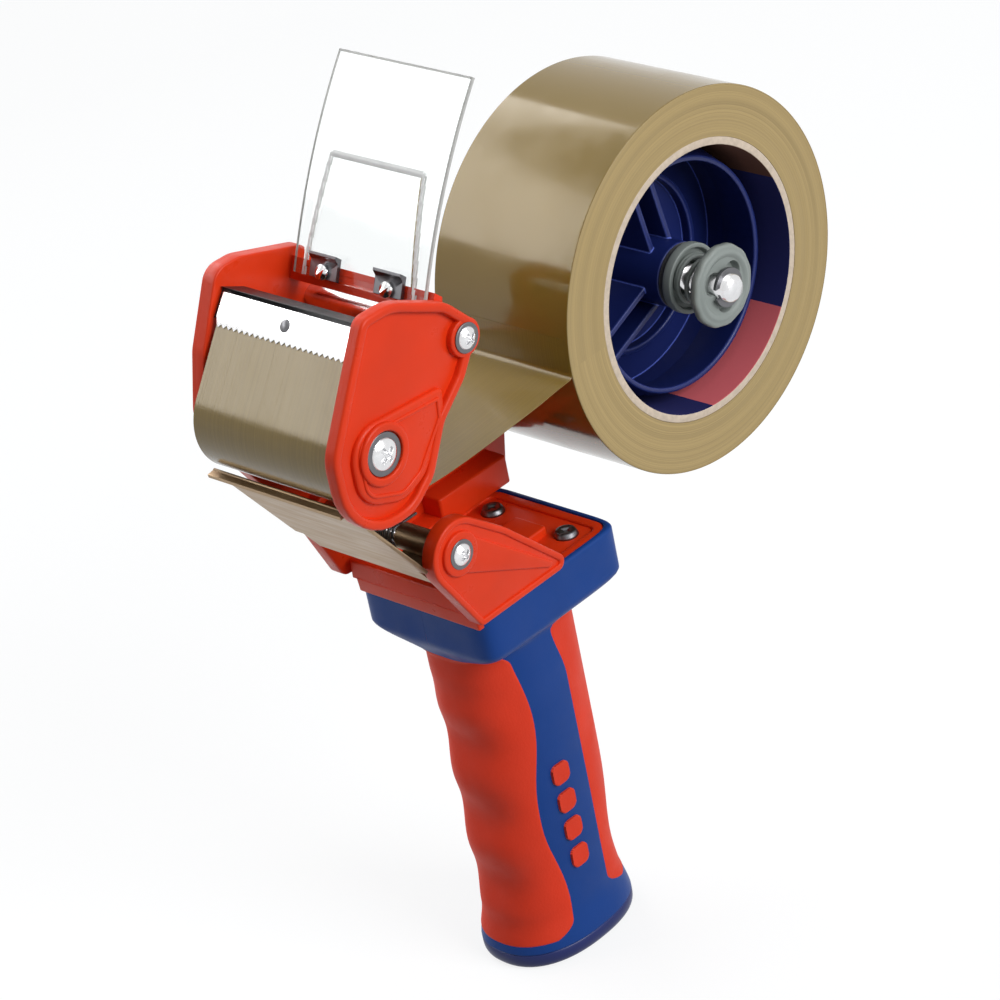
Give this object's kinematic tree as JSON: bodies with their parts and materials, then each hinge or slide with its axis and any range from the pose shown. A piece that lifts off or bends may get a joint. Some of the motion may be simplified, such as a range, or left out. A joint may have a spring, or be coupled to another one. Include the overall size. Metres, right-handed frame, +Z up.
{
  "type": "tape dispenser",
  "caption": "Pistol-grip dispenser for packing tape: reel with brake knob, application roller between side plates, toothed blade, clear flap, hinged steel guide plate",
  "frame": {"origin": "Middle of the flat foot of the handle, on the surface it stands on.", "axes": "+X forward towards the application roller and the blade, +Y towards the open side of the spindle where the roll is loaded, +Z up along the handle."},
  "size_m": [0.2018, 0.0739, 0.2713],
  "materials": {
    "blue_plastic": "moulded, fine texture, satin",
    "soft_orange": "soft over-moulded grip, matt",
    "navy_plastic": "moulded, semi-gloss",
    "orange_plastic": "moulded, semi-gloss",
    "plated_steel": "bright zinc plate",
    "sheet_steel": "rolled sheet, brushed lengthwise",
    "spring_steel": "dark oiled wire",
    "black_plastic": "moulded, satin",
    "blade_steel": "ground bright strip",
    "clear_plastic": "clear polycarbonate sheet",
    "white_plastic": "moulded, satin",
    "roller_rubber": "ground matt",
    "bush_brass": "turned",
    "brake_felt": "pressed felt",
    "grey_metal": "dark grey, satin",
    "cardboard": "spiral-wound kraft board",
    "tape_film": "tan polypropylene film, glossy outside, matt wound side"
  },
  "bodies": {
    "frame": {"handle_core": "blue_plastic", "front_grip": "soft_orange", "rear_grip": "soft_orange", "stripe_pads": "soft_orange", "foot_cap": "navy_plastic", "main_frame": "orange_plastic", "deck_screws": "plated_steel", "near_plate": "orange_plastic", "front_axle": "plated_steel", "axle_screws": "plated_steel", "tie_bar": "plated_steel", "tie_screws": "plated_steel", "lug_axle": "plated_steel", "lug_screws": "plated_steel", "guide_spring": "spring_steel", "blade_carrier": "black_plastic", "blade": "blade_steel", "blade_rivet": "spring_steel", "flap_bar": "orange_plastic", "flap_foot": "clear_plastic", "flap_clamp": "spring_steel", "flap_rivets": "plated_steel", "spindle": "plated_steel", "brake_pad": "brake_felt", "pressure_washer": "grey_metal", "brake_spring": "spring_steel", "spindle_clip": "spring_steel", "tape_web": "tape_film"},
    "tape_spool": {"reel_hub": "navy_plastic", "tape_core": "cardboard", "tape_roll": "tape_film"},
    "front_roller": {"roller_core": "white_plastic", "roller_tyre": "roller_rubber", "roller_bushes": "bush_brass"},
    "brake_knob": {"brake_knob": "grey_metal"},
    "flap": {"flap": "clear_plastic"},
    "guide_plate": {"guide_plate": "sheet_steel"}
  },
  "joints": [
    {"name": "reel_spin", "type": "hinge", "parent": "frame", "child": "tape_spool", "pos_m": [-0.0775, 0, 0.178], "axis": [0, 1, 0], "continuous": true},
    {"name": "roller_spin", "type": "hinge", "parent": "frame", "child": "front_roller", "pos_m": [0.0523, 0, 0.1934], "axis": [0, 1, 0], "continuous": true},
    {"name": "brake_turn", "type": "hinge", "parent": "frame", "child": "brake_knob", "pos_m": [-0.0775, 0.0315, 0.178], "axis": [0, 1, 0], "range_deg": [-180, 180]},
    {"name": "flap_flex", "type": "hinge", "parent": "frame", "child": "flap", "pos_m": [0.01974, 0, 0.22755], "axis": [0, 1, 0], "range_deg": [-25, 15], "stiffness_Nm_per_rad": 0.08},
    {"name": "guide_open", "type": "hinge", "parent": "frame", "child": "guide_plate", "pos_m": [0.0314, 0, 0.1507], "axis": [0, 1, 0], "range_deg": [0, 20], "stiffness_Nm_per_rad": 0.06}
  ],
  "couplings": [
    {"joint": "roller_spin", "follows": "reel_spin", "ratio": -3.583}
  ]
}
